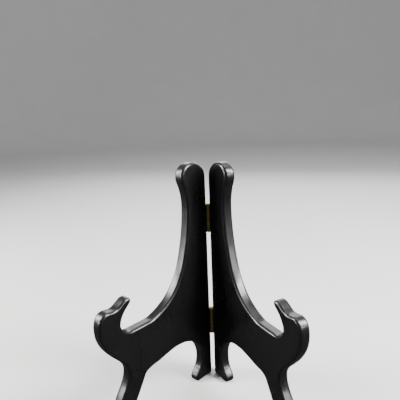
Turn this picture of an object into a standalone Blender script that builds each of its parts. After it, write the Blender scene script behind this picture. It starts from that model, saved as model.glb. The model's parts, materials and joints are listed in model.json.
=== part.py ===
"""Folding plate display stand.

Two identical side panels, sawn from 3/8 in board and lacquered black, are
joined down their back edges by two small brass butt hinges.  Opened like a
book they stand on four feet: a cabriole leg and toe at the front of each panel
and a short leg at the back.  A plate's rim sits in the two notches behind the
front hooks, and its back leans on the two uprights.

Frame: metres, +Z up, origin on the table under the middle of the bounding box
of the opened stand.  The front, where the plate is, faces -Y.
"""

import math

import bmesh
import bpy
from mathutils import Matrix

# ---------------------------------------------------------------- dimensions
MM = 0.001
HEIGHT = 203.0 * MM            # overall height, the "8 inch" size of stand
BOARD = 9.5 * MM               # board thickness, 3/8 in
ROUND = 2.4 * MM               # roundover on both faces of every shaped edge
EASE = 0.6 * MM                # the straight back edge is only eased, so that the hinges lie flat on it
HALF_OPEN = math.radians(35)   # each panel stands this far from straight ahead
FACE_GAP = 0.15 * MM           # each inner face to the middle plane, when folded

BACK_EDGE = 2.2 * MM           # pin axis to the panels' back edges
NOTCH_FLOOR = 84.0 * MM        # table to the floor of the plate notch

LEAF_T = 1.0 * MM              # hinge sheet thickness
PIN_R = 0.92 * MM
BORE_R = 1.00 * MM             # running clearance 0.08 mm
BARREL_R = BORE_R + LEAF_T
LEAF_W = 8.0 * MM              # pin axis to the free edge of a leaf
HINGE_H = 25.0 * MM
KNUCKLE_GAP = 0.25 * MM
HINGE_Z = {"lower": 54.0 * MM, "upper": 152.0 * MM}   # middle of each hinge

SCREW_V = 5.1 * MM             # screw centre line from the pin axis, across the edge
SCREW_DZ = 8.0 * MM            # screws above and below the middle of the hinge
HEAD_R = 1.95 * MM
SHANK_R = 0.95 * MM
SCREW_L = 10.0 * MM
HEAD_H = 0.9 * MM              # depth of the countersunk cone
FIT = 0.12 * MM                # gap round a screw in its leaf and its pilot hole

OUTLINE_FINE = 0.4 * MM        # spacing at which the outline is smoothed
BLEND = 1.5 * MM               # radius over which the sawn line is eased


# ------------------------------------------------------------------- outline
# Side view of a panel.  u runs forward from the pin axis, w up from the table,
# both in millimetres.  The curve passes near these points in order: down the
# back edge, along the feet and the arch, up the front and over the hook, then
# through the notch and up the face that the plate leans on.
OUTLINE = [
    # straight back edge, which carries the hinges
    (2.2, 186.0), (2.2, 150.0), (2.2, 110.0), (2.2, 70.0), (2.2, 35.0), (2.2, 12.0),
    # back foot: flat sole, small toe pointing forward
    (2.2, 2.0), (4.2, -1.6), (10.0, -1.6), (17.5, -1.4), (22.2, 1.6), (21.2, 6.2),
    # ankle of the back leg and the rise into the arch
    (16.6, 11.5), (14.2, 19.0), (14.8, 28.5), (20.2, 38.5), (31.0, 45.6),
    # long shallow arch
    (44.0, 47.9), (56.0, 46.8), (66.0, 44.8), (75.0, 43.9),
    # soft corner where the arch meets the cabriole leg
    (80.0, 42.1), (82.7, 37.8), (86.0, 32.2), (89.8, 26.0),
    # back of the leg down to the heel
    (93.7, 19.9), (97.3, 13.6), (99.9, 7.4), (101.6, 1.6), (104.4, -1.6),
    # sole and toe of the front foot
    (111.0, -1.8), (119.0, -1.6), (124.6, 0.8), (125.0, 5.4), (121.4, 9.2),
    # instep, shin and the hollow below the belly
    (116.9, 12.8), (113.4, 18.0), (109.6, 25.6), (104.9, 33.8), (100.2, 41.2), (97.6, 48.8),
    (98.3, 55.6), (102.3, 61.4),
    # belly of the hook
    (108.2, 67.6), (113.6, 74.4), (117.9, 81.6), (120.3, 89.6), (120.4, 97.6),
    (118.3, 103.8),
    # brow, the dip in front of the beak, and the beak over the plate
    (113.4, 107.1), (108.0, 106.4), (103.8, 106.5), (99.6, 109.0), (94.9, 111.6),
    (90.6, 110.9), (90.6, 107.2), (94.6, 104.0), (98.4, 99.4), (101.0, 93.4),
    # plate notch: its floor is cut flat, then it sweeps up to the upright
    (99.8, 88.4), (96.2, 85.2), (91.0, 83.7), (84.0, 83.0), (76.0, 83.2), (69.0, 84.6),
    (60.0, 88.0), (50.0, 94.2), (41.2, 103.4),
    # front face of the upright, and the nose that the plate leans on
    (34.8, 115.0), (30.2, 129.0), (26.9, 144.0), (25.0, 159.0), (24.8, 172.0),
    (27.2, 182.5), (30.0, 190.0), (28.9, 197.6), (22.6, 202.6),
    # rounded top
    (14.6, 203.3), (7.4, 200.4), (3.2, 194.4),
]
FLAT_FROM, FLAT_TO = 66.0, 94.0    # u range in which the notch's floor is cut flat


def catmull_rom(points, spacing):
    """Closed centripetal curve through points, sampled about this far apart."""
    out = []
    n = len(points)
    for i in range(n):
        p0, p1, p2, p3 = (points[(i + k) % n] for k in (-1, 0, 1, 2))
        t = [0.0]
        for a, b in ((p0, p1), (p1, p2), (p2, p3)):
            t.append(t[-1] + math.dist(a, b) ** 0.5)
        steps = max(2, round(math.dist(p1, p2) / spacing))
        for k in range(steps):
            s = t[1] + (t[2] - t[1]) * k / steps

            def mix(a, b, ta, tb):
                f = (s - ta) / (tb - ta)
                return (a[0] + (b[0] - a[0]) * f, a[1] + (b[1] - a[1]) * f)

            a1, a2, a3 = mix(p0, p1, t[0], t[1]), mix(p1, p2, t[1], t[2]), mix(p2, p3, t[2], t[3])
            b1, b2 = mix(a1, a2, t[0], t[2]), mix(a2, a3, t[1], t[3])
            out.append(mix(b1, b2, t[1], t[2]))
    return out


def even(points, spacing):
    """The closed line resampled at an even spacing."""
    n = len(points)
    lengths = [math.dist(points[i], points[(i + 1) % n]) for i in range(n)]
    total = sum(lengths)
    count = round(total / spacing)
    out, i, done = [], 0, 0.0
    for k in range(count):
        target = total * k / count
        while done + lengths[i] < target:
            done += lengths[i]
            i += 1
        f = (target - done) / lengths[i]
        a, b = points[i], points[(i + 1) % n]
        out.append((a[0] + (b[0] - a[0]) * f, a[1] + (b[1] - a[1]) * f))
    return out


def eased(points, spacing, radius):
    """Gaussian smoothing of a closed, evenly spaced line."""
    reach = int(3 * radius / spacing)
    weights = [math.exp(-0.5 * (k * spacing / radius) ** 2) for k in range(-reach, reach + 1)]
    whole = sum(weights)
    n = len(points)
    return [
        tuple(
            sum(w * points[(i + k - reach) % n][axis] for k, w in enumerate(weights)) / whole
            for axis in (0, 1)
        )
        for i in range(n)
    ]


def panel_outline():
    """The sawn outline in metres, evenly and finely spaced, counter-clockwise seen with u to the right."""
    back, floor = BACK_EDGE / MM, NOTCH_FLOOR / MM
    line = []
    for u, w in even(catmull_rom(OUTLINE, 0.5), OUTLINE_FINE / MM):
        w = max(w, 0.0)
        u = max(u, back)
        if FLAT_FROM < u < FLAT_TO and 70 < w < floor:
            w = floor
        line.append((u, w))
    line = eased(even(line, OUTLINE_FINE / MM), OUTLINE_FINE / MM, BLEND / MM)
    top = max(w for _, w in line)
    grown = []
    for u, w in line:
        share = min(1.0, max(0.0, (w - 160.0) / (top - 160.0)))
        grown.append((u * MM, (w + share * (HEIGHT / MM - top)) * MM))
    return grown


def thinned(points, most_angle, longest, shortest):
    """Fewer points: a new one wherever the line has turned this far, or run this long."""
    n = len(points)
    kept = [0]
    turned = run = 0.0
    for i in range(1, n):
        a, b, c = points[i - 1], points[i], points[(i + 1) % n]
        run += math.dist(a, b)
        turn = math.atan2(c[1] - b[1], c[0] - b[0]) - math.atan2(b[1] - a[1], b[0] - a[0])
        turned += abs(math.remainder(turn, 2 * math.pi))
        if (turned >= most_angle and run >= shortest) or run >= longest:
            kept.append(i)
            turned = run = 0.0
    return kept


def normals_of(points):
    """Outward unit normals of a closed counter-clockwise line."""
    n = len(points)
    out = []
    for i in range(n):
        a, c = points[i - 2], points[(i + 2) % n]
        du, dw = c[0] - a[0], c[1] - a[1]
        length = math.hypot(du, dw)
        out.append((dw / length, -du / length))
    return out


def inner_room(points, normals):
    """Radius of the widest circle that touches the line at each point and stays inside it nearby, eased along the line."""
    n = len(points)
    room = []
    for i, ((u, w), (nu, nw)) in enumerate(zip(points, normals)):
        widest = 9.0 * MM
        for k in range(-20, 21):
            du, dw = u - points[(i + k) % n][0], w - points[(i + k) % n][1]
            ahead = nu * du + nw * dw
            if ahead > 1e-9:
                widest = min(widest, (du * du + dw * dw) / (2 * ahead))
        room.append(widest)
    room = [min(room[(i + k) % n] for k in range(-3, 4)) for i in range(n)]
    return [sum(room[(i + k) % n] for k in range(-6, 7)) / 13 for i in range(n)]


# ------------------------------------------------------------------- helpers
def clear_scene():
    for obj in list(bpy.data.objects):
        bpy.data.objects.remove(obj, do_unlink=True)


def material(name, colour, roughness, metallic):
    mat = bpy.data.materials.new(name)
    mat.use_nodes = True
    shader = mat.node_tree.nodes["Principled BSDF"]
    shader.inputs["Base Color"].default_value = (*colour, 1.0)
    shader.inputs["Roughness"].default_value = roughness
    shader.inputs["Metallic"].default_value = metallic
    mat.diffuse_color = (*colour, 1.0)
    return mat


def finished(bm, name):
    """bmesh to mesh, normals out, round faces smooth and real edges sharp."""
    bmesh.ops.remove_doubles(bm, verts=bm.verts, dist=1e-7)
    bmesh.ops.recalc_face_normals(bm, faces=bm.faces)
    mesh = bpy.data.meshes.new(name)
    bm.to_mesh(mesh)
    bm.free()
    mesh.shade_smooth()
    mesh.set_sharp_from_angle(angle=math.radians(35))
    return mesh


def placed(name, mesh, parent, mat=None, cutter=False):
    obj = bpy.data.objects.new(name, mesh)
    bpy.context.scene.collection.objects.link(obj)
    obj.parent = parent
    if mat:
        obj.data.materials.append(mat)
    if cutter:
        obj.hide_render = True
        obj.display_type = "WIRE"
    return obj


def boolean(obj, other, operation="DIFFERENCE"):
    mod = obj.modifiers.new(other.name, "BOOLEAN")
    mod.operation = operation
    mod.solver = "EXACT"
    mod.object = other


def prism(polygon, z0, z1):
    """A polygon in the local XY plane extruded from z0 to z1."""
    bm = bmesh.new()
    face = bm.faces.new([bm.verts.new((x, y, z0)) for x, y in polygon])
    grown = bmesh.ops.extrude_face_region(bm, geom=[face])
    verts = [g for g in grown["geom"] if isinstance(g, bmesh.types.BMVert)]
    bmesh.ops.translate(bm, verts=verts, vec=(0, 0, z1 - z0))
    return bm


def turned_solid(profile, segments):
    """A closed solid of revolution about local Z.  profile runs from the axis, at the top, to the axis, at the bottom."""
    bm = bmesh.new()
    rings = []
    for r, z in profile:
        if r < 1e-9:
            rings.append([bm.verts.new((0, 0, z))])
        else:
            rings.append(
                [
                    bm.verts.new((r * math.cos(a), r * math.sin(a), z))
                    for a in (2 * math.pi * k / segments for k in range(segments))
                ]
            )
    for upper, lower in zip(rings, rings[1:]):
        for k in range(segments):
            m = (k + 1) % segments
            quad = [upper[k % len(upper)], lower[k % len(lower)], lower[m % len(lower)], upper[m % len(upper)]]
            corners = []
            for v in quad:
                if v not in corners:
                    corners.append(v)
            bm.faces.new(corners)
    return bm


# --------------------------------------------------------------------- parts
def quarter_round():
    """The roundover of an edge, as shares of its radius: (inset from the outline, depth from the face), from the face to the edge."""
    steps = 2
    angles = [math.pi / 2 * k / steps for k in range(steps + 1)]
    return [(1 - math.sin(a), 1 - math.cos(a)) for a in angles]


def round_at(u):
    """Radius of the roundover at this distance in front of the pin axis."""
    t = min(1.0, max(0.0, (u - BACK_EDGE) / (5 * MM)))
    return EASE + (ROUND - EASE) * t * t * (3 - 2 * t)


def panel_mesh(name, side):
    """One side panel: the outline given its thickness, with a quarter-round on both faces.

    Local frame of a half: origin on the pin axis, forward is -Y, outward is +X on the right half and -X on the left.
    """
    fine = panel_outline()
    normals = normals_of(fine)
    room = inner_room(fine, normals)
    kept = thinned(fine, math.radians(11), 6.0 * MM, 0.9 * MM)
    sections = quarter_round()
    inner = [(inset, depth, FACE_GAP, 1) for inset, depth in sections]
    outer = [(inset, depth, FACE_GAP + BOARD, -1) for inset, depth in reversed(sections)]
    bm = bmesh.new()
    rings = []
    for inset, depth, face_v, way in inner + outer:
        ring = []
        for i in kept:
            u, w = fine[i]
            nu, nw = normals[i]
            # Round the tight tip of the beak a full roundover would cross itself, so it is smaller there.
            r = min(round_at(u), 0.82 * room[i])
            ring.append(bm.verts.new((side * (face_v + way * depth * r), -(u - nu * inset * r), w - nw * inset * r)))
        rings.append(ring)
    n = len(kept)
    for a, b in zip(rings, rings[1:]):
        for k in range(n):
            m = (k + 1) % n
            bm.faces.new((a[k], a[m], b[m], b[k]))
    bm.faces.new(rings[0])
    bm.faces.new(rings[-1])
    return finished(bm, name)


def knuckle_section(side):
    """Cross-section of a rolled knuckle and its neck, in the half's local XY.

    The sheet lies on the back edge, rolls round the pin and stops just short of its own underside.
    """
    around = 24
    seam = math.radians(66)
    # Angle 0 points forward, to the panels, where the sheet is tangent to the barrel.
    outer, inner = [], []
    for k in range(around + 1):
        a = -(2 * math.pi - seam) * k / around
        outer.append((BARREL_R * math.sin(a), BARREL_R * math.cos(a)))
        inner.append((BORE_R * math.sin(a), BORE_R * math.cos(a)))
    neck = 3.2 * MM
    section = [(neck, BARREL_R)] + outer + inner[::-1] + [(neck, BORE_R)]
    # (v, u) of each point, with the neck on the +v side; the roll ends behind the neck.
    return [(side * v, -u) for v, u in section]


def leaf(name, side, parent, z_mid, knuckles, mat):
    """A hinge leaf: the flat sheet, its rolled knuckles, two countersunk screw holes."""
    v0, v1 = 2.35 * MM, LEAF_W
    c = 0.8 * MM
    z0, z1 = z_mid - HINGE_H / 2, z_mid + HINGE_H / 2
    # Flat sheet with its two free corners clipped, drawn in the plane of the back edge and given its thickness.
    bm = bmesh.new()
    flat = [(v0, z0), (v1 - c, z0), (v1, z0 + c), (v1, z1 - c), (v1 - c, z1), (v0, z1)]
    face = bm.faces.new([bm.verts.new((side * v, -BORE_R, z)) for v, z in flat])
    grown = bmesh.ops.extrude_face_region(bm, geom=[face])
    verts = [g for g in grown["geom"] if isinstance(g, bmesh.types.BMVert)]
    bmesh.ops.translate(bm, verts=verts, vec=(0, -LEAF_T, 0))
    obj = placed(name, finished(bm, name), parent, mat)
    for k, (a, b) in enumerate(knuckles):
        roll = placed(
            f"{name}_roll_{k}",
            finished(prism(knuckle_section(side), z0 + a, z0 + b), f"{name}_roll_{k}"),
            parent,
            cutter=True,
        )
        boolean(obj, roll, "UNION")
    for k, dz in enumerate((-SCREW_DZ, SCREW_DZ)):
        hole = placed(
            f"{name}_hole_{k}",
            finished(
                turned_solid(
                    [
                        (0, 1.2 * MM),
                        (HEAD_R + FIT + 1.2 * MM * SINK, 1.2 * MM),
                        (HEAD_R + FIT, 0),
                        (SHANK_R + FIT, -HEAD_H),
                        (SHANK_R + FIT, -2.4 * MM),
                        (0, -2.4 * MM),
                    ],
                    20,
                ),
                f"{name}_hole_{k}",
            ),
            parent,
            cutter=True,
        )
        hole.matrix_local = Matrix.Translation((side * SCREW_V, -BORE_R, z_mid + dz)) @ OUT_BACK
        boolean(obj, hole)
    return obj


SINK = (HEAD_R - SHANK_R) / HEAD_H      # slope of the countersink
OUT_BACK = Matrix.Rotation(math.radians(-90), 4, "X")   # turns local +Z to +Y, out of the back edge


def screw_mesh():
    """Slotted countersunk wood screw, +Z out of its head, head face at z = -0.05 mm."""
    top = -0.05 * MM
    bm = turned_solid(
        [
            (0, top),
            (HEAD_R - 0.15 * MM, top),
            (HEAD_R - 0.05 * MM, top - 0.1 * MM),
            (SHANK_R, -HEAD_H - 0.05 * MM),
            (SHANK_R, -SCREW_L * 0.72),
            (SHANK_R * 0.45, -SCREW_L * 0.93),
            (0, -SCREW_L),
        ],
        16,
    )
    body = placed("screw_blank", finished(bm, "screw_blank"), None, cutter=True)
    slot = placed(
        "screw_slot",
        finished(
            prism(
                [(-3 * MM, -0.25 * MM), (3 * MM, -0.25 * MM), (3 * MM, 0.25 * MM), (-3 * MM, 0.25 * MM)],
                -0.55 * MM,
                1.0 * MM,
            ),
            "screw_slot",
        ),
        None,
        cutter=True,
    )
    boolean(body, slot)
    bpy.context.view_layer.update()
    graph = bpy.context.evaluated_depsgraph_get()
    mesh = bpy.data.meshes.new_from_object(body.evaluated_get(graph))
    mesh.name = "screw"
    mesh.shade_smooth()
    mesh.set_sharp_from_angle(angle=math.radians(30))
    for obj in (body, slot):
        bpy.data.objects.remove(obj, do_unlink=True)
    return mesh


def pin_mesh():
    """Hinge pin: domed head above the top knuckle, plain shaft, rounded end below."""
    half = HINGE_H / 2
    head = 1.55 * MM
    profile = [(0, half + 0.95 * MM)]
    for k in (1, 2, 3):
        a = math.pi / 2 * k / 3
        profile.append((head * math.sin(a), half + 0.35 * MM + 0.6 * MM * math.cos(a)))
    profile += [
        (head, half + 0.15 * MM),
        (PIN_R, half + 0.15 * MM),
        (PIN_R, -half - 0.25 * MM),
        (PIN_R * 0.7, -half - 0.5 * MM),
        (0, -half - 0.6 * MM),
    ]
    return finished(turned_solid(profile, 20), "hinge_pin")


# ------------------------------------------------------------------ assembly
def build():
    clear_scene()
    lacquer = material("black_lacquer", (0.012, 0.011, 0.012), 0.22, 0.0)
    brass = material("brass", (0.66, 0.49, 0.21), 0.34, 1.0)
    steel = material("brassed_screw", (0.70, 0.54, 0.26), 0.30, 1.0)

    # The pin axis stands behind the origin, so that the origin is in the middle of the opened stand's box.
    # That box ends at the roundover of the toes in front and at the corners of the hinge leaves behind.
    reach = max(u for u, _ in panel_outline())
    front = max(
        (reach - inset * ROUND) * math.cos(HALF_OPEN) - (FACE_GAP + depth * ROUND) * math.sin(HALF_OPEN)
        for inset, depth in quarter_round()
    )
    rear = LEAF_W * math.sin(HALF_OPEN) - BORE_R * math.cos(HALF_OPEN)
    pin_y = (front - rear) / 2

    halves = {}
    for word, side in (("left", -1), ("right", 1)):
        empty = bpy.data.objects.new(f"{word}_half", None)
        bpy.context.scene.collection.objects.link(empty)
        empty.location = (0, pin_y, 0)
        empty.rotation_euler = (0, 0, side * HALF_OPEN)
        halves[word] = empty

    screws = screw_mesh()
    screws.materials.append(steel)
    pins = pin_mesh()
    pins.materials.append(brass)

    third = (HINGE_H - 2 * KNUCKLE_GAP) / 3
    spans = {
        "left": [(0, third), (2 * (third + KNUCKLE_GAP), HINGE_H)],
        "right": [(third + KNUCKLE_GAP, 2 * third + KNUCKLE_GAP)],
    }
    for word, side in (("left", -1), ("right", 1)):
        half = halves[word]
        panel = placed(f"{word}_side_panel", panel_mesh(f"{word}_side_panel", side), half, lacquer)
        for where, z_mid in HINGE_Z.items():
            leaf(f"{where}_hinge_{word}_leaf", side, half, z_mid, spans[word], brass)
            for spot, dz in (("bottom", -SCREW_DZ), ("top", SCREW_DZ)):
                seat = Matrix.Translation((side * SCREW_V, -BORE_R, z_mid + dz)) @ OUT_BACK
                screw = placed(f"{where}_{word}_screw_{spot}", screws, half)
                # No two slots were left at the same angle.
                turn = math.radians(20 + 47 * (side + 2 * (spot == "top") + 3 * (where == "upper")))
                screw.matrix_local = seat @ Matrix.Rotation(turn, 4, "Z")
                pilot = placed(
                    f"{where}_{word}_pilot_{spot}",
                    finished(
                        turned_solid(
                            [
                                (0, 1.0 * MM),
                                (SHANK_R + FIT, 1.0 * MM),
                                (SHANK_R + FIT, -SCREW_L * 0.72 - FIT),
                                (SHANK_R * 0.45 + FIT, -SCREW_L * 0.93 - FIT),
                                (0, -SCREW_L - 3 * FIT),
                            ],
                            16,
                        ),
                        f"{where}_{word}_pilot_{spot}",
                    ),
                    half,
                    cutter=True,
                )
                pilot.matrix_local = seat
                boolean(panel, pilot)
    for where, z_mid in HINGE_Z.items():
        pin = placed(f"{where}_hinge_pin", pins, halves["left"])
        pin.location = (0, 0, z_mid)


build()
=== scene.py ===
import json
import math

import bmesh
import bpy
from mathutils import Matrix, Vector, geometry, noise


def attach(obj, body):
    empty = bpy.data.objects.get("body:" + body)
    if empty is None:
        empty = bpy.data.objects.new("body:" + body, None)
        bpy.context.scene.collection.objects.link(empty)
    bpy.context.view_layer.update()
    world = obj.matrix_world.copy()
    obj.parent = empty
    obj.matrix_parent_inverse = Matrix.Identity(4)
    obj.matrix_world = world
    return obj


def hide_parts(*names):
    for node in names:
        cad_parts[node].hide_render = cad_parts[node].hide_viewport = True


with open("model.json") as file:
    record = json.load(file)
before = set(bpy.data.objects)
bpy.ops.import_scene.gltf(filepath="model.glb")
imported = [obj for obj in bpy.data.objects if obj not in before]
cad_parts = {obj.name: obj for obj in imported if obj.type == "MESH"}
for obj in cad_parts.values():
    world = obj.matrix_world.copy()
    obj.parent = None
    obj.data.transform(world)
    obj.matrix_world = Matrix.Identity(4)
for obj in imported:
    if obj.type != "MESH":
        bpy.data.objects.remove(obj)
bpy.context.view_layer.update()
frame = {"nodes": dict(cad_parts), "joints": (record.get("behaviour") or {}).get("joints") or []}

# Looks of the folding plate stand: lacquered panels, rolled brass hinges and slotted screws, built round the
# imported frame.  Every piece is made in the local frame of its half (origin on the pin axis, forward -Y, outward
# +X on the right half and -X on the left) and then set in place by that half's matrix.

MM = 0.001
pin_axis = Vector(frame["joints"][0]["pos_m"])
HALF_OPEN = math.radians(35)
SIDES = {"left": -1, "right": 1}
HALF = {
    word: Matrix.Translation((pin_axis.x, pin_axis.y, 0)) @ Matrix.Rotation(side * HALF_OPEN, 4, "Z")
    for word, side in SIDES.items()
}


def local_box(node, word):
    """Lowest and highest corner of a CAD node in its half's local frame, with X counted outward."""
    back = HALF[word].inverted()
    pts = [back @ v.co for v in frame["nodes"][node].data.vertices]
    xs = [SIDES[word] * p.x for p in pts]
    ys = [p.y for p in pts]
    zs = [p.z for p in pts]
    return Vector((min(xs), min(ys), min(zs))), Vector((max(xs), max(ys), max(zs)))


# ------------------------------------------------------------------ dimensions from the frame
p_lo, p_hi = local_box("right_side_panel", "right")
FACE_GAP, PANEL_OUT = p_lo.x, p_hi.x
BOARD = PANEL_OUT - FACE_GAP
HEIGHT = p_hi.z
BACK_EDGE = -p_hi.y
ROUND = 2.4 * MM
EASE = 0.6 * MM  # along the hinged back edge

l_lo, l_hi = local_box("lower_hinge_right_leaf", "right")
LEAF_W = l_hi.x
BARREL_R = l_hi.y
LEAF_T = 1.0 * MM
BORE_R = BARREL_R - LEAF_T
KNUCKLE_GAP = 0.25 * MM
HINGE_H = l_hi.z - l_lo.z

# ------------------------------------------------------------------ outline of a panel
# u forward from the pin axis, w up from the table, in millimetres.
OUTLINE = [
    (2.2, 186.0), (2.2, 150.0), (2.2, 110.0), (2.2, 70.0), (2.2, 35.0), (2.2, 12.0),
    (2.2, 2.0), (4.2, -1.6), (10.0, -1.6), (17.5, -1.4), (22.2, 1.6), (21.2, 6.2),
    (16.6, 11.5), (14.2, 19.0), (14.8, 28.5), (20.2, 38.5), (31.0, 45.6),
    (44.0, 47.9), (56.0, 46.8), (66.0, 44.8), (75.0, 43.9),
    (80.0, 42.1), (82.7, 37.8), (86.0, 32.2), (89.8, 26.0),
    (93.7, 19.9), (97.3, 13.6), (99.9, 7.4), (101.6, 1.6), (104.4, -1.6),
    (111.0, -1.8), (119.0, -1.6), (124.6, 0.8), (125.0, 5.4), (121.4, 9.2),
    (116.9, 12.8), (113.4, 18.0), (109.6, 25.6), (104.9, 33.8), (100.2, 41.2), (97.6, 48.8),
    (98.3, 55.6), (102.3, 61.4),
    (108.2, 67.6), (113.6, 74.4), (117.9, 81.6), (120.3, 89.6), (120.4, 97.6),
    (118.3, 103.8),
    (113.4, 107.1), (108.0, 106.4), (103.8, 106.5), (99.6, 109.0), (94.9, 111.6),
    (90.6, 110.9), (90.6, 107.2), (94.6, 104.0), (98.4, 99.4), (101.0, 93.4),
    (99.8, 88.4), (96.2, 85.2), (91.0, 83.7), (84.0, 83.0), (76.0, 83.2), (69.0, 84.6),
    (60.0, 88.0), (50.0, 94.2), (41.2, 103.4),
    (34.8, 115.0), (30.2, 129.0), (26.9, 144.0), (25.0, 159.0), (24.8, 172.0),
    (27.2, 182.5), (30.0, 190.0), (28.9, 197.6), (22.6, 202.6),
    (14.6, 203.3), (7.4, 200.4), (3.2, 194.4),
]
NOTCH_FLOOR, FLAT_FROM, FLAT_TO = 84.0, 66.0, 94.0
STEP, BLEND = 0.4, 1.5


def catmull_rom(points, spacing):
    out = []
    n = len(points)
    for i in range(n):
        p0, p1, p2, p3 = (points[(i + k) % n] for k in (-1, 0, 1, 2))
        t = [0.0]
        for a, b in ((p0, p1), (p1, p2), (p2, p3)):
            t.append(t[-1] + math.dist(a, b) ** 0.5)
        steps = max(2, round(math.dist(p1, p2) / spacing))
        for k in range(steps):
            s = t[1] + (t[2] - t[1]) * k / steps

            def mix(a, b, ta, tb):
                f = (s - ta) / (tb - ta)
                return (a[0] + (b[0] - a[0]) * f, a[1] + (b[1] - a[1]) * f)

            a1, a2, a3 = mix(p0, p1, t[0], t[1]), mix(p1, p2, t[1], t[2]), mix(p2, p3, t[2], t[3])
            b1, b2 = mix(a1, a2, t[0], t[2]), mix(a2, a3, t[1], t[3])
            out.append(mix(b1, b2, t[1], t[2]))
    return out


def even(points, spacing):
    n = len(points)
    lengths = [math.dist(points[i], points[(i + 1) % n]) for i in range(n)]
    count = round(sum(lengths) / spacing)
    total = sum(lengths)
    out, i, done = [], 0, 0.0
    for k in range(count):
        target = total * k / count
        while done + lengths[i] < target:
            done += lengths[i]
            i += 1
        f = (target - done) / lengths[i]
        a, b = points[i], points[(i + 1) % n]
        out.append((a[0] + (b[0] - a[0]) * f, a[1] + (b[1] - a[1]) * f))
    return out


def eased(points, spacing, radius):
    reach = int(3 * radius / spacing)
    weights = [math.exp(-0.5 * (k * spacing / radius) ** 2) for k in range(-reach, reach + 1)]
    whole = sum(weights)
    n = len(points)
    return [
        tuple(
            sum(w * points[(i + k - reach) % n][axis] for k, w in enumerate(weights)) / whole
            for axis in (0, 1)
        )
        for i in range(n)
    ]


def panel_outline():
    back = BACK_EDGE / MM
    line = []
    for u, w in even(catmull_rom(OUTLINE, 0.5), STEP):
        w = max(w, 0.0)
        u = max(u, back)
        if FLAT_FROM < u < FLAT_TO and 70 < w < NOTCH_FLOOR:
            w = NOTCH_FLOOR
        line.append((u, w))
    line = eased(even(line, STEP), STEP, BLEND)
    top = max(w for _, w in line)
    grown = []
    for u, w in line:
        share = min(1.0, max(0.0, (w - 160.0) / (top - 160.0)))
        grown.append((u, w + share * (HEIGHT / MM - top)))
    return grown


def smooth01(x, a, b):
    t = min(1.0, max(0.0, (x - a) / (b - a)))
    return t * t * (3 - 2 * t)


# ------------------------------------------------------------------ small helpers
def link(name, mesh, matrix=None):
    obj = bpy.data.objects.new(name, mesh)
    bpy.context.scene.collection.objects.link(obj)
    if matrix is not None:
        obj.matrix_world = matrix
    return obj


def to_mesh(bm, name):
    bmesh.ops.remove_doubles(bm, verts=bm.verts, dist=1e-7)
    bmesh.ops.recalc_face_normals(bm, faces=bm.faces)
    mesh = bpy.data.meshes.new(name)
    bm.to_mesh(mesh)
    bm.free()
    return mesh


def shade(mesh, degrees):
    mesh.shade_smooth()
    mesh.set_sharp_from_angle(angle=math.radians(degrees))


def applied(obj):
    """The object's modifiers made real."""
    bpy.context.view_layer.update()
    graph = bpy.context.evaluated_depsgraph_get()
    mesh = bpy.data.meshes.new_from_object(obj.evaluated_get(graph))
    obj.modifiers.clear()
    obj.data = mesh
    mesh.name = obj.name
    return obj


def settle(obj):
    """Moves the object's place into its mesh, and keeps each point's own local place for the material."""
    bpy.context.view_layer.update()
    mesh = obj.data
    flat = [c for v in mesh.vertices for c in v.co]
    local = mesh.attributes.new("local", "FLOAT_VECTOR", "POINT")
    local.data.foreach_set("vector", flat)
    mesh.transform(obj.matrix_world)
    obj.matrix_world = Matrix.Identity(4)
    return obj


def cut(obj, *cutters, solver="EXACT"):
    for other in cutters:
        mod = obj.modifiers.new(other.name, "BOOLEAN")
        mod.operation = "DIFFERENCE"
        mod.solver = solver
        mod.object = other
    applied(obj)
    for other in cutters:
        bpy.data.objects.remove(other, do_unlink=True)
    bm = bmesh.new()
    bm.from_mesh(obj.data)
    bmesh.ops.remove_doubles(bm, verts=bm.verts, dist=2e-6)
    bmesh.ops.dissolve_degenerate(bm, edges=bm.edges, dist=1e-6)
    bmesh.ops.holes_fill(bm, edges=[e for e in bm.edges if e.is_boundary], sides=4)
    bm.to_mesh(obj.data)
    bm.free()
    return obj


def turned(profile, segments):
    """A solid of revolution about +Z; the profile runs from the axis at the top to the axis at the bottom."""
    bm = bmesh.new()
    rings = []
    for r, z in profile:
        if r < 1e-9:
            rings.append([bm.verts.new((0, 0, z))])
        else:
            rings.append(
                [
                    bm.verts.new((r * math.cos(a), r * math.sin(a), z))
                    for a in (2 * math.pi * k / segments for k in range(segments))
                ]
            )
    for upper, lower in zip(rings, rings[1:]):
        for k in range(segments):
            m = (k + 1) % segments
            corners = []
            for v in (upper[k % len(upper)], lower[k % len(lower)], lower[m % len(lower)], upper[m % len(upper)]):
                if v not in corners:
                    corners.append(v)
            bm.faces.new(corners)
    return bm


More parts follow.
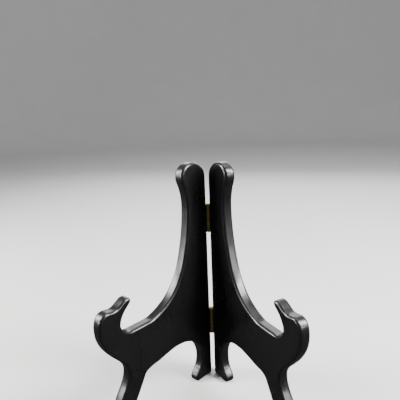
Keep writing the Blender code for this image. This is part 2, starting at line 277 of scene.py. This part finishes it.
# ------------------------------------------------------------------ panels
def panel(word):
    """A sawn and hand-eased board: the outline, its rounded arrises and its two faces, all a little uneven."""
    side = SIDES[word]
    fine = panel_outline()
    n = len(fine)
    normals = []
    for i in range(n):
        a, c = fine[i - 2], fine[(i + 2) % n]
        du, dw = c[0] - a[0], c[1] - a[1]
        length = math.hypot(du, dw)
        normals.append((dw / length, -du / length))
    # The widest circle that fits inside the outline at each point: an arris rounder than that would cross itself.
    room = []
    for i, ((u, w), (nu, nw)) in enumerate(zip(fine, normals)):
        widest = 9.0
        for k in range(-20, 21):
            du, dw = u - fine[(i + k) % n][0], w - fine[(i + k) % n][1]
            ahead = nu * du + nw * dw
            if ahead > 1e-6:
                widest = min(widest, (du * du + dw * dw) / (2 * ahead))
        room.append(widest)
    room = [min(room[(i + k) % n] for k in range(-3, 4)) for i in range(n)]
    room = [sum(room[(i + k) % n] for k in range(-6, 7)) / 13 for i in range(n)]
    kept, turned_by, run = [0], 0.0, 0.0
    for i in range(1, n):
        a, b, c = fine[i - 1], fine[i], fine[(i + 1) % n]
        run += math.dist(a, b)
        turn = math.atan2(c[1] - b[1], c[0] - b[0]) - math.atan2(b[1] - a[1], b[0] - a[0])
        turned_by += abs(math.remainder(turn, 2 * math.pi))
        if (turned_by >= math.radians(3.0) and run >= 0.55) or run >= 1.3:
            kept.append(i)
            turned_by = run = 0.0
    seed = Vector((11.0 * side, 3.7, 1.3))

    def free(u, w):
        """0 where the edge must stay true: the soles, the hinge edge and the seat; 1 elsewhere."""
        return smooth01(w, 2.0, 8.0) * smooth01(u, 3.5, 9.0) * (1 - 0.8 * smooth01(u, 66, 72) * (1 - smooth01(u, 88, 94)) * smooth01(w, 78, 82) * (1 - smooth01(w, 86, 90)))

    # Rings across the edge, from the inner face to the outer: arris, flat, arris.  Each is the arris's inset share and
    # depth share, then the share of the flat from the arris to the middle of the edge, then whether it is outside.
    steps = 7
    arris = [(1 - math.sin(math.pi / 2 * k / steps), 1 - math.cos(math.pi / 2 * k / steps)) for k in range(steps + 1)]
    rings = [(inset, depth, 0.0, False) for inset, depth in arris]
    rings += [(0.0, 1.0, 0.2, False), (0.0, 1.0, 1.0, False), (0.0, 1.0, 0.2, True)]
    rings += [(inset, depth, 0.0, True) for inset, depth in reversed(arris)]
    bm = bmesh.new()
    wear = bm.verts.layers.float.new("arris")
    band = bm.verts.layers.float.new("band")
    stroke = bm.verts.layers.float_vector.new("stroke")
    around = sum(math.dist(fine[i - 1], fine[i]) for i in range(n)) * MM / (2 * math.pi)
    loops = []
    board = BOARD / MM
    gap = FACE_GAP / MM
    for inset, depth, flat_share, outer in rings:
        ring = []
        for i in kept:
            u, w = fine[i]
            nu, nw = normals[i]
            loose = free(u, w)
            # The two arrises were eased by hand, so their radius wanders a little; the edge has faint flats.
            r = (EASE + (ROUND - EASE) * smooth01(u, BACK_EDGE / MM, BACK_EDGE / MM + 5.0)) / MM
            r *= 1.0 - 0.16 * loose * (0.5 + 0.5 * noise.noise(Vector((u, w, 90.0 if outer else 40.0)) * 0.045 + seed))
            r = min(r, 0.82 * room[i])
            back_off = inset * r + 0.05 * loose * (1 - flat_share) * (1 - inset) + (0.06 + 0.06 * smooth01(u, 112, 120)) * smooth01(w, 0.0, 1.5)
            back_off += 0.10 * loose * (0.5 + 0.5 * noise.noise(Vector((u * 0.13, w * 0.13, 5.0 + 0.1 * flat_share)) + seed))
            deep = depth * r + flat_share * (board / 2 - r)
            v = gap + (board - deep if outer else deep)
            vert = bm.verts.new((side * v, -(u - nu * back_off), w - nw * back_off))
            vert[wear] = math.sin(math.pi * depth) if flat_share == 0 else 0.0
            # Where the point lies along the edge (wound on a circle as long as the outline) and across it.
            turn = 2 * math.pi * i / n
            vert[stroke] = (around * math.cos(turn), around * math.sin(turn), v * MM)
            vert[band] = 1.0 if flat_share else min(1.0, 1.3 * depth)
            ring.append(vert)
        loops.append(ring)
    m = len(kept)
    for a, b in zip(loops, loops[1:]):
        for k in range(m):
            bm.faces.new((a[k], a[(k + 1) % m], b[(k + 1) % m], b[k]))

    # The two faces: triangles over points 3.5 mm apart, with a sanded surface that is not quite flat.
    def face(ring, v):
        flat = [Vector((-p.co.y, p.co.z)) for p in ring]
        lo = Vector((min(p.x for p in flat), min(p.y for p in flat)))
        hi = Vector((max(p.x for p in flat), max(p.y for p in flat)))
        points = list(flat)
        edges = [(k, (k + 1) % m) for k in range(m)]
        # A support row just inside the arris keeps the face flat right up to it.
        for k in range(0, m):
            i = kept[k]
            nu, nw = normals[i]
            q = Vector((flat[k].x - nu * 0.7, flat[k].y - nw * 0.7))
            points.append(q)
        pitch = 3.5
        rows = int((hi.y - lo.y) / (pitch * 0.866)) + 1
        for j in range(rows):
            for k in range(int((hi.x - lo.x) / pitch) + 1):
                points.append(Vector((lo.x + (k + 0.5 * (j % 2)) * pitch, lo.y + j * pitch * 0.866)))
        # Drop free points that fall too near the edge or outside.
        kept_points = points[:m]
        grid = {}
        for p in points[:m]:
            grid.setdefault((int(p.x // 3), int(p.y // 3)), []).append(p)

        def near(p, r):
            cx, cy = int(p.x // 3), int(p.y // 3)
            return any(
                (q - p).length < r
                for ix in range(cx - 1, cx + 2)
                for iy in range(cy - 1, cy + 2)
                for q in grid.get((ix, iy), ())
            )

        def inside(p):
            odd = False
            for k in range(m):
                a, b = flat[k], flat[(k + 1) % m]
                if (a.y > p.y) != (b.y > p.y) and p.x < (b.x - a.x) * (p.y - a.y) / (b.y - a.y) + a.x:
                    odd = not odd
            return odd

        support = points[m : 2 * m]
        for q in support:
            if inside(q) and not near(q, 0.5):
                kept_points.append(q)
        for p in kept_points[m:]:
            grid.setdefault((int(p.x // 3), int(p.y // 3)), []).append(p)
        for p in points[2 * m :]:
            if inside(p) and not near(p, 1.8):
                kept_points.append(p)
        coords, _, tris, orig, _, _ = geometry.delaunay_2d_cdt(kept_points, edges, [], 1, 1e-5)
        verts = []
        for k, c in enumerate(coords):
            source = orig[k][0] if orig[k] else -1
            if 0 <= source < m:
                verts.append(ring[source])
            else:
                depth = 0.045 * noise.noise(Vector((c.x * 0.055, c.y * 0.04, 20.0 if v > 1 else 70.0)) + seed)
                edge = min(1.0, 0.25 if near(c, 2.5) else 1.0)
                inward = 1 if v < board / 2 else -1
                lift = inward * (0.03 + depth) * edge * free(c.x, max(c.y, 8.1))
                vert = bm.verts.new((side * (v + lift), -c.x, c.y))
                verts.append(vert)
        for t in tris:
            corners = [verts[k] for k in t]
            if len(set(corners)) == len(corners):
                bm.faces.new(corners)

    face(loops[0], gap)
    face(loops[-1], gap + board)
    bmesh.ops.scale(bm, vec=(MM, MM, MM), verts=bm.verts)
    return to_mesh(bm, f"{word}_panel")


def seat(node, word):
    """Matrix of a screw's seat in its half: +Z points out of the back edge, origin on the leaf's outer surface."""
    lo, hi = local_box(node, word)
    x = SIDES[word] * (lo.x + hi.x) / 2
    return Matrix.Translation((x, -BORE_R, (lo.z + hi.z) / 2)) @ Matrix.Rotation(math.radians(-90), 4, "X")


SHANK_R, HEAD_R, HEAD_H, SCREW_L, FIT = 0.95 * MM, 1.95 * MM, 0.9 * MM, 10.0 * MM, 0.12 * MM


def screw_mesh(name, slot_seed):
    """Slotted countersunk wood screw with a tapering thread, +Z out of the head."""
    top = -0.05 * MM
    around = 40
    bm = bmesh.new()
    rows = []
    head = [
        (HEAD_R - 0.95 * MM, top + 0.035 * MM), (HEAD_R - 0.45 * MM, top + 0.02 * MM), (HEAD_R - 0.16 * MM, top - 0.005 * MM),
        (HEAD_R - 0.07 * MM, top - 0.04 * MM), (HEAD_R - 0.05 * MM, top - 0.10 * MM), (HEAD_R - 0.07 * MM, top - 0.14 * MM),
    ]
    for k in range(1, 6):
        f = k / 5
        head.append((HEAD_R - 0.07 * MM + (SHANK_R - HEAD_R + 0.07 * MM) * f, top - 0.14 * MM + (-HEAD_H - 0.05 * MM - top + 0.14 * MM) * f))
    plain_end, pitch = -2.9 * MM, 0.82 * MM
    for r, z in head:
        rows.append([(r, z)] * around)
    rows.append([(SHANK_R, -1.6 * MM)] * around)
    rows.append([(SHANK_R, plain_end)] * around)
    fine = 110
    for k in range(1, fine):
        z = plain_end + (-SCREW_L - plain_end) * k / fine
        taper = 1.0 - smooth01(-z, SCREW_L * 0.66, SCREW_L) * 0.93
        row = []
        for j in range(around):
            phase = ((z / pitch) + j / around) % 1.0
            saw = max(0.0, 1.0 - abs(phase - 0.5) / 0.26)
            grow = smooth01(-z, -plain_end, -plain_end + 1.2 * MM)
            r = (SHANK_R * (1 - 0.32 * grow) + 0.33 * SHANK_R * saw * grow) * taper
            row.append((max(r, 0.03 * MM), z))
        rows.append(row)
    rings = [
        [bm.verts.new((r * math.cos(2 * math.pi * j / around), r * math.sin(2 * math.pi * j / around), z)) for j, (r, z) in enumerate(row)]
        for row in rows
    ]
    cap, tip = bm.verts.new((0, 0, top + 0.04 * MM)), bm.verts.new((0, 0, -SCREW_L))
    for j in range(around):
        k = (j + 1) % around
        bm.faces.new((cap, rings[0][j], rings[0][k]))
        bm.faces.new((tip, rings[-1][k], rings[-1][j]))
        for a, b in zip(rings, rings[1:]):
            bm.faces.new((a[j], b[j], b[k], a[k]))
    obj = link(name, to_mesh(bm, name))
    bm = bmesh.new()
    w, deep = 0.26 * MM, -0.55 * MM
    section = [(-w - 0.05 * MM, 1.0 * MM), (-w - 0.05 * MM, top), (-w, top - 0.07 * MM), (-w, deep + 0.05 * MM), (-w + 0.05 * MM, deep),
               (w - 0.05 * MM, deep), (w, deep + 0.05 * MM), (w, top - 0.07 * MM), (w + 0.05 * MM, top), (w + 0.05 * MM, 1.0 * MM)]
    face = bm.faces.new([bm.verts.new((-3 * MM, y, z)) for y, z in section])
    grown = bmesh.ops.extrude_face_region(bm, geom=[face])
    bmesh.ops.translate(bm, verts=[g for g in grown["geom"] if isinstance(g, bmesh.types.BMVert)], vec=(6 * MM, 0, 0))
    cut(obj, link(name + "_slot", to_mesh(bm, name + "_slot")))
    shade(obj.data, 32)
    return obj


def leaf(name, word, node, mirror_spans):
    """Hinge leaf: one sheet, its knuckles rolled round the pin, edges eased, corners clipped round, holes countersunk."""
    side = SIDES[word]
    lo, hi = local_box(node, word)
    z0, z1 = lo.z, hi.z
    third = (HINGE_H - 2 * KNUCKLE_GAP) / 3
    spans = {
        True: [(0, third), (2 * (third + KNUCKLE_GAP), HINGE_H)],
        False: [(third + KNUCKLE_GAP, 2 * third + KNUCKLE_GAP)],
    }[mirror_spans]
    mid = BORE_R + LEAF_T / 2
    flat_end = LEAF_W - 2.35 * MM
    corner = 1.1 * MM
    s_lines = [0, 0.2 * corner, 0.45 * corner, 0.7 * corner, corner]
    s_lines += [corner + (flat_end - corner) * k / 5 for k in range(1, 6)]
    s_lines += [flat_end + (LEAF_W - flat_end) * k / 3 for k in range(1, 4)]
    roll = math.radians(360 - 66)
    turns = 56
    s_lines += [LEAF_W + mid * roll * k / turns for k in range(1, turns + 1)]
    z_lines = sorted(
        {round(z, 7) for z in
         [0, 0.2 * corner, 0.45 * corner, 0.7 * corner, corner, HINGE_H - corner, HINGE_H - 0.7 * corner, HINGE_H - 0.45 * corner, HINGE_H - 0.2 * corner, HINGE_H]
         + [third, third + KNUCKLE_GAP, 2 * third + KNUCKLE_GAP, 2 * third + 2 * KNUCKLE_GAP]
         + [third * k / 4 for k in range(1, 4)]
         + [third + KNUCKLE_GAP + third * k / 4 for k in range(1, 4)]
         + [2 * third + 2 * KNUCKLE_GAP + third * k / 4 for k in range(1, 4)]}
    )

    def spot(s, z):
        """(v, u, z, normal v, normal u) on the middle of the sheet; the normal points away from the pin."""
        if s < corner and (z < corner or z > HINGE_H - corner):
            a = 1 - s / corner
            low = z < corner
            b = 1 - (z if low else HINGE_H - z) / corner
            a2, b2 = a * math.sqrt(1 - b * b / 2), b * math.sqrt(1 - a * a / 2)
            s = corner * (1 - a2)
            z = corner * (1 - b2) if low else HINGE_H - corner * (1 - b2)
        if s <= LEAF_W:
            return LEAF_W - s, mid, z, 0.0, 1.0
        a = (s - LEAF_W) / mid
        return -mid * math.sin(a), mid * math.cos(a), z, -math.sin(a), math.cos(a)

    bm = bmesh.new()
    grid = {}
    h = LEAF_T / 2
    for i, s in enumerate(s_lines):
        for j, z in enumerate(z_lines):
            v, u, zz, nv, nu = spot(s, z)
            grid[i, j] = (
                (side * (v + nv * h), -(u + nu * h), z0 + zz),
                (side * (v - nv * h), -(u - nu * h), z0 + zz),
            )
    made = {}

    def vert(i, j, layer):
        if (i, j, layer) not in made:
            made[i, j, layer] = bm.verts.new(grid[i, j][layer])
        return made[i, j, layer]

    cells = set()
    for i in range(len(s_lines) - 1):
        for j in range(len(z_lines) - 1):
            zc = (z_lines[j] + z_lines[j + 1]) / 2
            if s_lines[i] < flat_end - 1e-9 or any(a < zc < b for a, b in spans):
                cells.add((i, j))
    for i, j in cells:
        bm.faces.new([vert(*k, 0) for k in ((i, j), (i + 1, j), (i + 1, j + 1), (i, j + 1))])
        bm.faces.new([vert(*k, 1) for k in ((i, j + 1), (i + 1, j + 1), (i + 1, j), (i, j))])
        for (di, dj), (a, b) in {
            (-1, 0): ((i, j), (i, j + 1)), (1, 0): ((i + 1, j + 1), (i + 1, j)),
            (0, -1): ((i + 1, j), (i, j)), (0, 1): ((i, j + 1), (i + 1, j + 1)),
        }.items():
            if (i + di, j + dj) not in cells:
                bm.faces.new((vert(*a, 0), vert(*b, 0), vert(*b, 1), vert(*a, 1)))
    obj = link(name, to_mesh(bm, name), HALF[word])
    bevel = obj.modifiers.new("ease", "BEVEL")
    bevel.width = 0.11 * MM
    bevel.segments = 2
    bevel.limit_method = "ANGLE"
    bevel.angle_limit = math.radians(55)
    applied(obj)
    where = name.split("_")[0]
    cutters = []
    for spot_name in ("bottom", "top"):
        sink = (HEAD_R - SHANK_R) / HEAD_H
        bm = turned(
            [(0, 1.2 * MM), (HEAD_R + FIT + 1.2 * MM * sink, 1.2 * MM), (SHANK_R + FIT, -HEAD_H), (SHANK_R + FIT, -2.4 * MM), (0, -2.4 * MM)],
            48,
        )
        cutters.append(link(f"{name}_{spot_name}_cut", to_mesh(bm, f"{name}_{spot_name}_cut"), HALF[word] @ seat(f"{where}_{word}_screw_{spot_name}", word)))
    cut(obj, *cutters)
    shade(obj.data, 32)
    return obj


def hinge_pin(name, node, word):
    """Drawn pin with a low domed head, and its other end lightly riveted over."""
    lo, hi = local_box(node, word)
    zm = (lo.z + hi.z) / 2
    r_pin, r_head = BORE_R - 0.08 * MM, 1.55 * MM
    top, foot = hi.z, lo.z
    head = top - 0.95 * MM + 0.15 * MM
    profile = [(0, top), (0.30 * MM, top - 0.008 * MM)]
    for k in range(1, 12):
        a = math.pi / 2 * k / 12
        profile.append((0.30 * MM + (r_head - 0.30 * MM) * math.sin(a), head + 0.18 * MM + (top - head - 0.19 * MM) * math.cos(a)))
    profile += [(r_head, head + 0.14 * MM), (r_head - 0.03 * MM, head + 0.04 * MM), (r_head - 0.1 * MM, head), (r_pin, head)]
    profile += [(r_pin, head + (foot + 0.4 * MM - head) * k / 8) for k in range(1, 9)]
    for k in range(1, 8):
        a = math.pi / 2 * k / 8
        profile.append((r_pin * math.cos(a) * 0.9 + r_pin * 0.1 * (1 - k / 8), foot + 0.4 * MM * (1 - math.sin(a))))
    profile.append((0, foot))
    mesh = to_mesh(turned([(r, z - zm) for r, z in profile], 48), name)
    shade(mesh, 40)
    return link(name, mesh, Matrix.Translation((pin_axis.x, pin_axis.y, zm)))


# ------------------------------------------------------------------ materials
class Nodes:
    """A small hand for wiring a node material."""

    def __init__(self, name, **values):
        self.mat = bpy.data.materials.new(name)
        self.mat.use_nodes = True
        self.tree = self.mat.node_tree
        self.shader = self.tree.nodes["Principled BSDF"]
        for key, value in values.items():
            self.shader.inputs[key.replace("_", " ")].default_value = value

    def add(self, kind, inputs=None, **settings):
        node = self.tree.nodes.new(kind)
        for key, value in settings.items():
            setattr(node, key, value)
        for key, value in (inputs or {}).items():
            socket = node.inputs[key]
            if isinstance(value, bpy.types.NodeSocket):
                self.tree.links.new(value, socket)
            else:
                socket.default_value = value
        return node

    def math(self, operation, a, b=0.0, clamp=False):
        node = self.add("ShaderNodeMath", {0: a, 1: b}, operation=operation)
        node.use_clamp = clamp
        return node.outputs[0]

    def place(self, source, scale, turn=(0, 0, 0)):
        return self.add("ShaderNodeMapping", {"Vector": source, "Scale": scale, "Rotation": turn}).outputs[0]

    def noise(self, vector, scale, detail=3.0, roughness=0.5, distortion=0.0):
        return self.add(
            "ShaderNodeTexNoise",
            {"Vector": vector, "Scale": scale, "Detail": detail, "Roughness": roughness, "Distortion": distortion},
        ).outputs["Fac"]

    def ramp(self, factor, low, high, a=0.0, b=1.0):
        node = self.add("ShaderNodeMapRange", {"Value": factor, "From Min": low, "From Max": high, "To Min": a, "To Max": b})
        node.clamp = True
        return node.outputs[0]

    def mix(self, factor, a, b):
        node = self.add("ShaderNodeMix", data_type="RGBA")
        for key, value in ((0, factor), (6, a), (7, b)):
            if isinstance(value, bpy.types.NodeSocket):
                self.tree.links.new(value, node.inputs[key])
            else:
                node.inputs[key].default_value = value
        return node.outputs[2]

    def bump(self, height, distance, normal=None, strength=1.0):
        inputs = {"Height": height, "Distance": distance, "Strength": strength}
        if normal is not None:
            inputs["Normal"] = normal
        return self.add("ShaderNodeBump", inputs).outputs[0]

    def wire(self, value, key):
        self.tree.links.new(value, self.shader.inputs[key])


def lacquer(seed):
    n = Nodes(f"black_lacquer_{seed}", IOR=1.46, Coat_Weight=0.25, Coat_Roughness=0.13, Coat_IOR=1.45)
    where = n.add("ShaderNodeAttribute", attribute_name="local", attribute_type="GEOMETRY").outputs["Vector"]
    shifted = n.add("ShaderNodeVectorMath", {0: where, 1: (seed * 0.37, seed * 0.21, 0.0)}, operation="ADD").outputs[0]
    # Open grain of the board, running up it, faintly telegraphed through the finish.
    grain_space = n.place(shifted, (900.0, 900.0, 26.0))
    grain = n.noise(grain_space, 1.0, 3.0, 0.55, 0.4)
    pores = n.ramp(n.noise(n.place(shifted, (1600.0, 1600.0, 60.0)), 1.0, 2.0, 0.5), 0.62, 0.74)
    # The lacquer's own surface: soft brush ripple and a little orange peel.
    ripple = n.noise(n.place(shifted, (130.0, 130.0, 26.0)), 1.0, 1.0, 0.4, 0.15)
    peel = n.noise(shifted, 520.0, 2.0, 0.5)
    # Round the edge the sanding and the brush both ran along it, and the finish keeps their streaks.
    wound = n.add("ShaderNodeAttribute", attribute_name="stroke", attribute_type="GEOMETRY").outputs["Vector"]
    on_edge = n.add("ShaderNodeAttribute", attribute_name="band", attribute_type="GEOMETRY").outputs["Fac"]
    streak = n.noise(n.place(wound, (48.0, 48.0, 760.0)), 1.0, 3.0, 0.55, 0.25)
    streak = n.math("MULTIPLY", streak, on_edge)
    dust = n.ramp(n.noise(shifted, 1500.0, 1.0, 0.4), 0.775, 0.82)
    smudge = n.noise(shifted, 42.0, 4.0, 0.62, 0.8)
    scratch_a = n.ramp(n.noise(n.place(shifted, (90.0, 900.0, 2600.0), (0.35, 0.2, 0.5)), 1.0, 1.0, 0.5), 0.765, 0.79)
    scratch_b = n.ramp(n.noise(n.place(shifted, (2400.0, 800.0, 80.0), (0.1, 0.6, 0.9)), 1.0, 1.0, 0.5), 0.765, 0.79)
    scratches = n.math("MAXIMUM", scratch_a, scratch_b)
    # Rubbing has thinned the lacquer here and there along the arrises, down to the stained wood.
    edge = n.add("ShaderNodeAttribute", attribute_name="arris", attribute_type="GEOMETRY").outputs["Fac"]
    patchy = n.ramp(n.noise(shifted, 95.0, 5.0, 0.65, 0.5), 0.60, 0.72)
    rubbed = n.math("MULTIPLY", n.math("MULTIPLY", edge, patchy), n.ramp(n.noise(shifted, 900.0, 3.0, 0.6), 0.42, 0.58))
    base = n.mix(n.ramp(grain, 0.35, 0.7), (0.0026, 0.0026, 0.0030, 1), (0.0062, 0.0054, 0.0052, 1))
    base = n.mix(pores, base, (0.0015, 0.0015, 0.0016, 1))
    base = n.mix(n.math("MULTIPLY", dust, 0.4), base, (0.16, 0.155, 0.15, 1))
    base = n.mix(n.math("MULTIPLY", rubbed, 0.85), base, (0.060, 0.030, 0.016, 1))
    n.wire(base, "Base Color")
    rough = n.ramp(smudge, 0.25, 0.78, 0.25, 0.34)
    rough = n.math("ADD", rough, n.math("MULTIPLY", scratches, 0.12))
    rough = n.math("ADD", rough, n.ramp(streak, 0.45, 0.70, 0.0, 0.14))
    rough = n.math("ADD", rough, n.math("MULTIPLY", rubbed, 0.25), clamp=True)
    n.wire(rough, "Roughness")
    normal = n.bump(ripple, 0.00006)
    normal = n.bump(streak, 0.00006, normal)
    normal = n.bump(peel, 0.000016, normal)
    normal = n.bump(grain, 0.000012, normal)
    normal = n.bump(n.math("SUBTRACT", 0.0, n.math("ADD", pores, scratches)), 0.000008, normal)
    normal = n.bump(dust, 0.00003, normal)
    n.wire(normal, "Normal")
    n.tree.links.new(normal, n.shader.inputs["Coat Normal"])
    return n.mat


def brass(name, tone, kind):
    """kind is sheet, pin or screw: how the metal was worked sets its lines."""
    n = Nodes(name, Metallic=1.0, IOR=1.5)
    where = n.add("ShaderNodeAttribute", attribute_name="local", attribute_type="GEOMETRY").outputs["Vector"]
    cloud = n.noise(where, 260.0, 5.0, 0.6, 0.3)
    blotch = n.ramp(n.noise(where, 620.0, 4.0, 0.65, 0.8), 0.52, 0.72)
    speck = n.ramp(n.noise(where, 2600.0, 2.0, 0.5), 0.66, 0.74)
    if kind == "sheet":
        lines = n.noise(n.place(where, (9000.0, 9000.0, 260.0)), 1.0, 2.0, 0.5)
    elif kind == "pin":
        lines = n.noise(n.place(where, (700.0, 700.0, 12000.0)), 1.0, 2.0, 0.5)
    else:
        xyz = n.add("ShaderNodeSeparateXYZ", {0: where})
        radius = n.math("SQRT", n.math("ADD", n.math("MULTIPLY", xyz.outputs[0], xyz.outputs[0]), n.math("MULTIPLY", xyz.outputs[1], xyz.outputs[1])))
        rings = n.add("ShaderNodeCombineXYZ", {0: radius, 2: n.math("MULTIPLY", xyz.outputs[2], 0.4)}).outputs[0]
        lines = n.noise(n.place(rings, (14000.0, 1.0, 6000.0)), 1.0, 2.0, 0.5)
    dull = tuple(c * k for c, k in zip(tone, (0.50, 0.44, 0.34)))
    warm = tuple(c * k for c, k in zip(tone, (0.92, 0.82, 0.66)))
    base = n.mix(n.ramp(cloud, 0.34, 0.66), (*tone, 1), (*warm, 1))
    base = n.mix(n.math("MULTIPLY", blotch, 0.55), base, (*dull, 1))
    base = n.mix(n.math("MULTIPLY", speck, 0.6), base, (0.10, 0.065, 0.03, 1))
    base = n.mix(n.ramp(lines, 0.35, 0.75, 0.0, 0.16), base, (*dull, 1))
    n.wire(base, "Base Color")
    rough = n.math("ADD", n.ramp(cloud, 0.3, 0.7, 0.24, 0.38), n.math("MULTIPLY", n.math("MAXIMUM", blotch, speck), 0.18), clamp=True)
    n.wire(rough, "Roughness")
    normal = n.bump(lines, 0.000008)
    normal = n.bump(cloud, 0.00003, normal)
    normal = n.bump(n.math("SUBTRACT", 0.0, speck), 0.000015, normal)
    n.wire(normal, "Normal")
    return n.mat


SHEET = brass("hinge_sheet_brass", (0.72, 0.53, 0.24), "sheet")
ROD = brass("pin_rod_brass", (0.76, 0.58, 0.28), "pin")
TURNED = brass("screw_turned_brass", (0.78, 0.61, 0.31), "screw")

# ------------------------------------------------------------------ the stand
for word, side in SIDES.items():
    board = link(f"{word}_board", panel(word), HALF[word])
    pilots = []
    for where in ("lower", "upper"):
        for spot_name in ("bottom", "top"):
            bm = turned(
                [(0, 1.0 * MM), (SHANK_R + FIT, 1.0 * MM), (SHANK_R + FIT, -SCREW_L * 0.72 - FIT),
                 (SHANK_R * 0.45 + FIT, -SCREW_L * 0.93 - FIT), (0, -SCREW_L - 3 * FIT)],
                32,
            )
            key = f"{where}_{word}_screw_{spot_name}"
            pilots.append(link(key + "_pilot", to_mesh(bm, key + "_pilot"), HALF[word] @ seat(key, word)))
    cut(board, *pilots)
    shade(board.data, 40)
    board.data.materials.clear()
    board.data.materials.append(lacquer(1 if side < 0 else 2))
    settle(board)
    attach(board, f"{word}_half")
    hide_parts(f"{word}_side_panel")

    for where in ("lower", "upper"):
        node = f"{where}_hinge_{word}_leaf"
        piece = leaf(f"{where}_{word}_rolled_leaf", word, node, word == "left")
        piece.data.materials.clear()
        piece.data.materials.append(SHEET)
        settle(piece)
        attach(piece, f"{word}_half")
        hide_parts(node)
        for spot_name in ("bottom", "top"):
            key = f"{where}_{word}_screw_{spot_name}"
            screw = screw_mesh(f"{where}_{word}_slotted_{spot_name}", 0)
            turn = math.radians(20 + 47 * (side + 2 * (spot_name == "top") + 3 * (where == "upper")))
            screw.matrix_world = HALF[word] @ seat(key, word) @ Matrix.Rotation(turn, 4, "Z")
            screw.data.materials.clear()
            screw.data.materials.append(TURNED)
            settle(screw)
            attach(screw, f"{word}_half")
            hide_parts(key)

for where in ("lower", "upper"):
    node = f"{where}_hinge_pin"
    piece = hinge_pin(f"{where}_drawn_pin", node, "left")
    piece.data.materials.append(ROD)
    settle(piece)
    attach(piece, "left_half")
    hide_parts(node)

# ------------------------------------------------------------------ stage
floor = Nodes("pale_floor", Roughness=0.55, IOR=1.4)
where = floor.add("ShaderNodeTexCoord").outputs["Object"]
floor.wire(floor.mix(floor.noise(where, 6.0, 3.0), (0.70, 0.69, 0.675, 1), (0.76, 0.75, 0.735, 1)), "Base Color")
bm = bmesh.new()
# A round floor, flat far beyond the stand, that sweeps up into a backdrop all round.
FLAT, SWEEP, WALL, AROUND = 2.2, 1.2, 2.5, 96
profile = [(0.6, 0.0), (1.4, 0.0), (FLAT, 0.0)]
profile += [(FLAT + SWEEP * math.sin(a), SWEEP - SWEEP * math.cos(a)) for a in (math.pi / 2 * k / 16 for k in range(1, 17))]
profile.append((FLAT + SWEEP, WALL))
turns = [2 * math.pi * k / AROUND for k in range(AROUND)]
rows = [[bm.verts.new((r * math.cos(a), r * math.sin(a), z)) for a in turns] for r, z in profile]
bm.faces.new(rows[0])
for a, b in zip(rows, rows[1:]):
    for k in range(AROUND):
        bm.faces.new((a[k], b[k], b[(k + 1) % AROUND], a[(k + 1) % AROUND]))
ground = link("pale_sweep", to_mesh(bm, "pale_sweep"))
ground.data.shade_smooth()
ground.data.materials.append(floor.mat)

# The gloss mirrors a dim studio, as a photographer's flags would make it, and not the pale sweep.
ground.visible_glossy = False

world = bpy.data.worlds.new("studio")
bpy.context.scene.world = world
world.use_nodes = True
tree = world.node_tree
background = tree.nodes["Background"]
background.inputs["Color"].default_value = (0.88, 0.92, 1.0, 1)
path = tree.nodes.new("ShaderNodeLightPath")
spot_on = tree.nodes.new("ShaderNodeTexCoord")
split = tree.nodes.new("ShaderNodeSeparateXYZ")
tree.links.new(spot_on.outputs["Generated"], split.inputs[0])
rise = tree.nodes.new("ShaderNodeMapRange")
for key, value in (("From Min", 0.05), ("From Max", 0.55), ("To Min", 0.08), ("To Max", 0.42)):
    rise.inputs[key].default_value = value
tree.links.new(split.outputs[2], rise.inputs["Value"])
pick = tree.nodes.new("ShaderNodeMix")
tree.links.new(path.outputs["Is Glossy Ray"], pick.inputs[0])
pick.inputs[2].default_value = 0.30
tree.links.new(rise.outputs[0], pick.inputs[3])
tree.links.new(pick.outputs[0], background.inputs["Strength"])


def soft_light(name, direction, distance, width, height, power, tilt=0.0, at=(0, 0, 0.08)):
    """A softbox facing the stand; tilt turns it about the way it faces, in degrees."""
    data = bpy.data.lights.new(name, "AREA")
    data.shape = "RECTANGLE"
    data.size, data.size_y = width, height
    data.energy = power
    lamp = bpy.data.objects.new(name, data)
    bpy.context.scene.collection.objects.link(lamp)
    d = Vector(direction).normalized()
    lamp.location = Vector(at) + d * distance
    lamp.rotation_euler = ((-d).to_track_quat("-Z", "Y").to_matrix() @ Matrix.Rotation(math.radians(tilt), 3, "Z")).to_euler()
    return lamp


soft_light("left_softbox", (-0.88, 0.00, 0.46), 0.95, 0.26, 0.70, 19.0, tilt=-20)
soft_light("right_softbox", (0.76, -0.13, 0.60), 0.95, 0.28, 0.70, 28.0, tilt=20)
soft_light("low_left_softbox", (-0.935, -0.33, 0.19), 0.95, 0.24, 0.20, 3.6)
soft_light("low_right_softbox", (0.87, -0.43, 0.26), 0.95, 0.22, 0.22, 2.4)
soft_light("back_softbox", (0.10, 0.92, 0.46), 1.1, 1.1, 0.5, 7.0)
soft_light("top_softbox", (0.10, 0.30, 1.0), 1.3, 0.8, 0.8, 6.0)

camera_data = bpy.data.cameras.new("camera")
camera_data.sensor_width = 36.0
camera_data.lens = 430.0 / 400.0 * 36.0
camera_data.clip_start = 0.01
camera = bpy.data.objects.new("camera", camera_data)
bpy.context.scene.collection.objects.link(camera)
yaw, pitch, roll = 0.1219, 0.2261, -0.0381
ahead = Vector((-math.sin(yaw), math.cos(yaw), 0))
across = Vector((math.cos(yaw), math.sin(yaw), 0))
forward = ahead * math.cos(pitch) - Vector((0, 0, math.sin(pitch)))
upward = Vector((0, 0, math.cos(pitch))) + ahead * math.sin(pitch)
right = across * math.cos(roll) + upward * math.sin(roll)
top = -across * math.sin(roll) + upward * math.cos(roll)
camera.matrix_world = Matrix(
    (
        (right.x, top.x, -forward.x, 0.03766),
        (right.y, top.y, -forward.y, pin_axis.y - 0.36196),
        (right.z, top.z, -forward.z, 0.252),
        (0, 0, 0, 1),
    )
)
bpy.context.scene.camera = camera
